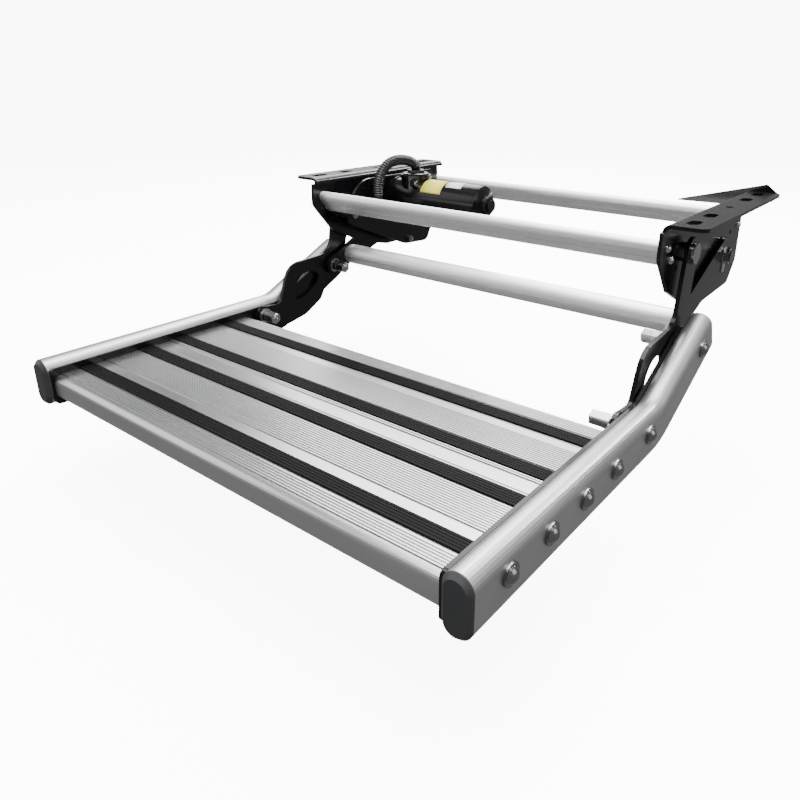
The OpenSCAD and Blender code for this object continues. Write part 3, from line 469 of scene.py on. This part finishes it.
def loft(name: str, rings: Sequence[Sequence[Vector]], closed: bool = False) -> bpy.types.Object:
    """Joins rings of points into a skin.

    Args:
        name: The piece's name.
        rings: Rings of the same number of points.
        closed: True where the last ring joins the first.

    Returns:
        The new object.
    """
    count = len(rings[0])
    points = [p for ring in rings for p in ring]
    spans = len(rings) if closed else len(rings) - 1
    faces = []
    for i in range(spans):
        here, there = i * count, (i + 1) % len(rings) * count
        for k in range(count):
            j = (k + 1) % count
            faces.append((here + k, here + j, there + j, there + k))
    return mesh_object(name, points, faces)


def soften(piece: bpy.types.Object, edge: Edge) -> None:
    """Breaks a piece's sharp edges by a bevel.

    Args:
        piece: The piece.
        edge: How far its edges are broken.
    """
    bevel = piece.modifiers.new("broken_edges", "BEVEL")
    bevel.width = edge.value
    bevel.segments = BEVEL_SEGMENTS
    bevel.limit_method = "ANGLE"
    bevel.angle_limit = SHARP_ANGLE
    bevel.harden_normals = True


@dataclass
class Wardrobe:
    """Keeps one material for each finish and puts it on pieces."""

    nodes: dict[str, bpy.types.Object]
    made: dict[Finish, bpy.types.Material] = field(default_factory=dict)

    def material(self, finish: Finish) -> bpy.types.Material:
        """Makes a finish's material at its first use.

        Args:
            finish: The finish.

        Returns:
            The one material that all its pieces share.
        """
        if finish not in self.made:
            self.made[finish] = finish.material()
        return self.made[finish]

    def dress(self, names: Iterable[str], finish: Finish, edge: Edge | None = None) -> None:
        """Puts a finish on CAD nodes.

        Args:
            names: The nodes.
            finish: Their finish.
            edge: How their sharp edges are broken, if they are.
        """
        for name in names:
            piece = self.nodes[name]
            self.paint(piece, finish)
            if edge is not None:
                soften(piece, edge)
            LOG.info("dressed %s", name)

    def paint(self, piece: bpy.types.Object, finish: Finish) -> None:
        """Gives one object the finish as its only material."""
        piece.data.materials.clear()
        piece.data.materials.append(self.material(finish))

    def add(self, piece: bpy.types.Object, finish: Finish, body: str) -> None:
        """Gives a new piece its finish and its body.

        Args:
            piece: The piece.
            finish: Its finish, which names the slot.
            body: The body it rides on.
        """
        self.paint(piece, finish)
        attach(piece, body)
        LOG.info("added %s on %s", piece.name, body)


def both(*stems: str) -> list[str]:
    """Node names with their left and right endings."""
    return [f"{stem}_{side}" for stem in stems for side in ("left", "right")]


# Sub-assemblies


@dataclass
class TopFrame:
    """Brackets, cross bars and the gusset that carry everything else."""

    wardrobe: Wardrobe

    def dress(self) -> None:
        """Paints the steel, the bars and their fasteners."""
        self.wardrobe.dress([*both("bracket"), "rear_gusset"], POWDER_BLACK, Edge.SHEET)
        self.wardrobe.dress(["front_crossbar", "rear_crossbar"], BAR_SILVER, Edge.EXTRUSION)
        self.wardrobe.dress(["crossbar_screws", "gusset_screws"], ZINC, Edge.FASTENER)
        self.wardrobe.dress(["front_pivot_nuts"], ZINC, Edge.FASTENER)
        self.wardrobe.dress(["front_pivot_pins"], PIN_STEEL, Edge.FASTENER)
        self.wardrobe.dress(["front_pivot_spacers"], DARK_STEEL, Edge.FASTENER)
        self.wardrobe.dress(["rear_pivot_bushes"], BRONZE, Edge.FASTENER)


@dataclass
class Linkage:
    """The two pairs of links, their tube and their pivots."""

    wardrobe: Wardrobe

    def dress(self) -> None:
        """Paints the links, the tube and the pivots."""
        self.wardrobe.dress(both("front_link", "rear_link"), POWDER_BLACK, Edge.SHEET)
        self.wardrobe.dress(["cross_tube"], BAR_SILVER, Edge.EXTRUSION)
        self.wardrobe.dress(["tube_plugs"], NYLON)
        self.wardrobe.dress(
            ["tube_screws", "rear_shaft_nuts", "lock_studs", "lock_nuts"], ZINC, Edge.FASTENER
        )
        self.wardrobe.dress(both("rear_shaft"), DARK_STEEL, Edge.FASTENER)


@dataclass
class Tread:
    """Planks, rubber strips, side rails and their caps and bolts."""

    wardrobe: Wardrobe

    def dress(self) -> None:
        """Paints the tread's pieces."""
        self.wardrobe.dress(["plank_front", "plank_rear"], PLANK_SILVER)
        self.wardrobe.dress([f"grip_strip_{i}" for i in range(1, 5)], RUBBER)
        self.wardrobe.dress(both("side_rail"), RAIL_SILVER)
        self.wardrobe.dress(both("side_plate"), POWDER_BLACK, Edge.SHEET)
        self.wardrobe.dress(both("front_cap"), CAP_GREY, Edge.MOULDED)
        self.wardrobe.dress(both("rail_end_cap"), END_GREY, Edge.MOULDED)
        self.wardrobe.dress(["plank_screws", "tread_pivot_nuts"], ZINC, Edge.FASTENER)
        self.wardrobe.dress(["tread_bolts", "tread_pivot_bolts", "lock_bolts"], BOLT_ZINC, Edge.FASTENER)
        self.wardrobe.dress(["lock_bushes"], NYLON, Edge.FASTENER)


@dataclass
class MotorDrive:
    """Gear motor, its plate, and the crank that works the rear links."""

    wardrobe: Wardrobe
    label_lift: float = 0.25 * MM
    label_thick: float = 0.2 * MM
    label_steps: int = 16
    ring_slope: float = 1.0 * MM
    ring_rise: float = 0.8 * MM
    ring_sink: float = 0.5 * MM
    ring_inset: float = 6.5 * MM
    ring_steps: int = 64

    def dress(self) -> None:
        """Paints the drive and adds its labels and a bright zinc ring on the gearbox rim as a painted
        highlight.
        """
        self.wardrobe.dress(["motor_mount_plate"], POWDER_BLACK, Edge.SHEET)
        self.wardrobe.dress(
            ["gearbox_housing", "gearbox_cover", "motor_can", "motor_end_cap"], MOTOR_BLACK, Edge.CAST
        )
        self.wardrobe.dress(["mount_bolts", "motor_screws"], ZINC, Edge.FASTENER)
        self.wardrobe.dress(["mount_spacers"], DARK_STEEL, Edge.FASTENER)
        self.wardrobe.dress(
            ["output_shaft", "crank_arm", "crank_pin", "drive_rod", "drive_lever", "lever_pin"],
            DARK_STEEL,
            Edge.FASTENER,
        )
        self.label("motor_label", LABEL_YELLOW, (0.10, 0.45), (25.0, 92.0))
        self.label("rating_label", LABEL_SILVER, (0.49, 0.75), (52.0, 94.0))
        self.highlight_ring()

    def label(self, name: str, finish: Finish, span: tuple[float, float], sweep: tuple[float, float]) -> None:
        """Wraps a bare label round part of the motor can.

        Args:
            name: The piece's name.
            finish: The label's finish.
            span: Where it starts and ends along the can, as shares of its length.
            sweep: Its first and last angle above the front, in degrees.
        """
        low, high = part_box("motor_can")
        middle = (low + high) / 2
        radius = (high.z - low.z) / 2 + self.label_lift
        steps = self.label_steps
        points = []
        for share in span:
            x = low.x + share * (high.x - low.x)
            for i in range(steps + 1):
                angle = math.radians(sweep[0] + (sweep[1] - sweep[0]) * i / steps)
                y = middle.y - radius * math.cos(angle)
                points.append(Vector((x, y, middle.z + radius * math.sin(angle))))
        count = steps + 1
        faces = [(i, i + 1, count + i + 1, count + i) for i in range(steps)]
        piece = mesh_object(name, points, faces)
        solid = piece.modifiers.new("stock", "SOLIDIFY")
        solid.thickness = self.label_thick
        solid.offset = 0.0
        self.wardrobe.add(piece, finish, "frame")

    def highlight_ring(self) -> None:
        """Adds a bright zinc ridge round the gearbox cover, a painted highlight on the dark cover's rim."""
        low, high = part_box("gearbox_cover")
        middle = (low + high) / 2
        inner = (high.x - low.x) / 2 - self.ring_inset
        ridge = inner + self.ring_slope
        profile = [(inner, 0.0), (ridge, self.ring_rise), (ridge + self.ring_slope, 0.0)]
        centre = Vector((middle.x, middle.y, high.z - self.ring_sink))
        rings = []
        for i in range(self.ring_steps):
            angle = math.tau * i / self.ring_steps
            way = Vector((math.cos(angle), math.sin(angle), 0.0))
            rings.append([centre + way * r + Vector((0, 0, z)) for r, z in profile])
        piece = loft("gearbox_highlight_ring", rings, closed=True)
        # Bright zinc here is a painted highlight on the black gearbox cover's rim.
        self.wardrobe.add(piece, ZINC, "frame")


@dataclass
class WiringConduit:
    """Ribbed conduit from the gearbox's gland to the plug behind the front bar."""

    wardrobe: Wardrobe
    radius: float = 8.0 * MM
    rib_depth: float = 1.3 * MM
    rib_pitch: float = 3.4 * MM
    wall: float = 1.0 * MM
    sides: int = 24
    rings_a_rib: int = 6
    ring_guide: Point = (0.2, -0.8, 0.05)
    base_mm: Point = (-194.2, -3.0, -7.1)
    route_mm: tuple[Point, ...] = (
        (0, 0, 0),
        (0, 0, 16),
        (-3, -7, 23.5),
        (-7, -21, 27.5),
        (-11, -37, 27.5),
        (-15, -52, 21.5),
        (-18, -62, 8.5),
        (-20, -66, -7.5),
        (-20, -67, -23.5),
        (-20, -67, -39.5),
    )

    def dress(self) -> None:
        """Builds the conduit over its solid and paints gland and plug."""
        self.wardrobe.dress(["conduit_gland"], CONDUIT_BLACK, Edge.MOULDED)
        self.wardrobe.dress(["wiring_plug"], PLUG_WHITE, Edge.MOULDED)
        piece = loft("ribbed_conduit", self.rings(), closed=True)
        self.wardrobe.add(piece, CONDUIT_BLACK, "frame")
        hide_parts("wiring_conduit")

    def curve(self, samples: int = 16) -> list[Vector]:
        """Points close together on a smooth curve through the route.

        Args:
            samples: Points to a span of the route.

        Returns:
            The curve's points, in metres.
        """
        route = [(Vector(self.base_mm) + Vector(p)) * MM for p in self.route_mm]
        last = len(route) - 1

        def point(i: int, t: float) -> Vector:
            """A point on the span that starts at route point i."""
            a, b, c, d = (route[max(0, min(last, i + k))] for k in (-1, 0, 1, 2))
            return 0.5 * (
                2 * b + (c - a) * t + (2 * a - 5 * b + 4 * c - d) * t**2 + (3 * b - a - 3 * c + d) * t**3
            )

        return [point(i, k / samples) for i in range(last) for k in range(samples)] + [route[-1]]

    def rings(self) -> list[list[Vector]]:
        """Sets rings of points along the conduit.

        Returns:
            The ribbed skin's rings, down the outside and back up the bore.
        """
        line = self.curve()
        runs = [0.0]
        for before, after in zip(line, line[1:]):
            runs.append(runs[-1] + (after - before).length)
        length = runs[-1]
        straight = 2 * self.radius
        ribs = int((length - 2 * straight) / self.rib_pitch)
        start = (length - ribs * self.rib_pitch) / 2
        step = self.rib_pitch / self.rings_a_rib
        ribbed = [start + i * step for i in range(ribs * self.rings_a_rib + 1)]
        stations = [0.0, *ribbed, length]
        rounding = 1e-9

        def at(run: float) -> Vector:
            """The point at a length along the line."""
            i = max(k for k, r in enumerate(runs[:-1]) if r <= run + rounding)
            return line[i].lerp(line[i + 1], (run - runs[i]) / (runs[i + 1] - runs[i]))

        def ring(run: float, radius: float) -> list[Vector]:
            """Sets a ring of points square to the line.

            Args:
                run: The length along the line.
                radius: The ring's radius.

            Returns:
                The ring's points.
            """
            reach = 0.5 * MM
            way = (at(min(length, run + reach)) - at(max(0.0, run - reach))).normalized()
            side = way.cross(Vector(self.ring_guide)).normalized()
            up = side.cross(way)
            turn = (math.tau * k / self.sides for k in range(self.sides))
            return [at(run) + radius * (math.cos(a) * side + math.sin(a) * up) for a in turn]

        def skin(run: float) -> float:
            """Finds how thick the conduit is.

            Args:
                run: The length along the line.

            Returns:
                The outside radius there.
            """
            if not start <= run <= start + ribs * self.rib_pitch:
                return self.radius - self.rib_depth
            phase = math.tau * (run - start) / self.rib_pitch
            return self.radius - self.rib_depth * (0.5 + 0.5 * math.cos(phase))

        bore = self.radius - self.rib_depth - self.wall
        outside = [ring(s, skin(s)) for s in stations]
        inside = [ring(s, bore) for s in reversed(stations)]
        return outside + inside


@dataclass(frozen=True)
class Lamp:
    """A square softbox: its place, the point it faces, its side in metres and its power in watts."""

    name: str
    place: Point
    target: Point
    size: float
    power: float

    def hang(self) -> None:
        """Hangs the lamp, turned to its target."""
        light = bpy.data.lights.new(self.name, "AREA")
        light.size = self.size
        light.energy = self.power
        lamp = bpy.data.objects.new(self.name, light)
        lamp.location = self.place
        way = Vector(self.target) - Vector(self.place)
        lamp.rotation_euler = way.to_track_quat("-Z", "Y").to_euler()
        bpy.context.scene.collection.objects.link(lamp)


@dataclass
class Studio:
    """Pale floor, soft light and the camera at the photograph's angle."""

    floor_drop: float = 0.10
    floor_half: float = 5.0
    floor_bend: float = 6.0
    floor_glow: float = 9.0
    floor_grey: float = 0.92
    floor_roughness: float = 0.9
    floor_sides: int = 96
    floor_steps: int = 12
    sky_strength: float = 0.30
    image_px: float = 800.0
    focal_px: float = 698.52
    sensor_mm: float = 36.0
    eye: Point = (0.5126, -0.8702, 0.1429)
    yaw: float = -0.6506
    pitch: float = 0.3616
    roll: float = 0.0104
    centre_px: tuple[float, float] = (437.84, 339.47)
    lamps: tuple[Lamp, ...] = (
        Lamp("top_softbox", (0.3, -0.5, 2.2), (0.0, -0.2, -0.1), 2.4, 180.0),
        Lamp("side_softbox", (2.4, 0.2, 0.9), (0.0, -0.2, -0.1), 1.6, 18.0),
        Lamp("fill_softbox", (-1.8, -1.2, 0.9), (0.0, -0.2, -0.1), 1.6, 15.0),
        Lamp("back_softbox", (-1.6, 2.1, 1.55), (0.0, 0.0, -0.1), 2.0, 85.0),
        Lamp("rail_light", (-0.3, 0.85, 1.7), (-0.3, -0.3, -0.15), 0.8, 45.0),
        Lamp("edge_light", (0.8, 1.9, 1.4), (0.0, 0.0, -0.1), 0.5, 40.0),
    )

    def build(self) -> None:
        """Makes floor, lights and camera."""
        self.floor()
        self.sky()
        for lamp in self.lamps:
            lamp.hang()
        self.camera()

    def floor(self) -> None:
        """Lays a pale floor below the step that curves up all round as a backdrop."""
        low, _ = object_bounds()
        level = low.z - self.floor_drop
        flat, bend = self.floor_half, self.floor_bend
        profile = [(0.0, 0.0), (flat, 0.0)]
        for i in range(1, self.floor_steps + 1):
            angle = 0.5 * math.pi * i / self.floor_steps
            profile.append((flat + bend * math.sin(angle), bend * (1.0 - math.cos(angle))))
        turn = [math.tau * k / self.floor_sides for k in range(self.floor_sides)]
        rings = [
            [Vector((radius * math.cos(a), radius * math.sin(a), level + height)) for a in turn]
            for radius, height in profile
        ]
        floor = loft("studio_floor", rings)
        graph = Graph("studio_floor")
        graph.surface(
            base_color=(self.floor_grey, self.floor_grey, self.floor_grey, 1.0),
            roughness=self.floor_roughness,
            emission_color=(1.0, 1.0, 1.0, 1.0),
            emission_strength=self.floor_glow,
        )
        floor.data.materials.append(graph.material)
        floor.visible_diffuse = False
        floor.visible_glossy = False
        floor.visible_shadow = False
        floor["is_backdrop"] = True

    def sky(self) -> None:
        """Lights the room evenly."""
        world = bpy.data.worlds.new("studio")
        world.use_nodes = True
        back = world.node_tree.nodes["Background"]
        back.inputs["Color"].default_value = (1.0, 1.0, 1.0, 1.0)
        back.inputs["Strength"].default_value = self.sky_strength
        bpy.context.scene.world = world

    def camera(self) -> None:
        """Stands the camera where the photograph was taken from."""
        level = math.cos(self.pitch)
        forward = Vector((math.sin(self.yaw) * level, math.cos(self.yaw) * level, -math.sin(self.pitch)))
        right = Vector((math.cos(self.yaw), -math.sin(self.yaw), 0.0))
        up = right.cross(forward)
        tilt_c, tilt_s = math.cos(self.roll), math.sin(self.roll)
        right, up = tilt_c * right + tilt_s * up, tilt_c * up - tilt_s * right
        data = bpy.data.cameras.new("photo_camera")
        data.sensor_width = self.sensor_mm
        data.lens = self.focal_px / self.image_px * self.sensor_mm
        data.shift_x = 0.5 - self.centre_px[0] / self.image_px
        data.shift_y = self.centre_px[1] / self.image_px - 0.5
        camera = bpy.data.objects.new("photo_camera", data)
        turn = Matrix((right, up, -forward)).transposed()
        camera.matrix_world = Matrix.Translation(self.eye) @ turn.to_4x4()
        bpy.context.scene.collection.objects.link(camera)
        bpy.context.scene.camera = camera


def main() -> None:
    """Loads the frame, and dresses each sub-assembly."""
    logging.basicConfig(level=logging.INFO, format="%(name)s: %(message)s")
    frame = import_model()
    wardrobe = Wardrobe(frame["nodes"])
    parts: list[Callable[[Wardrobe], Any]] = [TopFrame, Linkage, Tread, MotorDrive, WiringConduit]
    for part in parts:
        part(wardrobe).dress()
    Studio().build()


if __name__ == "__main__":
    main()
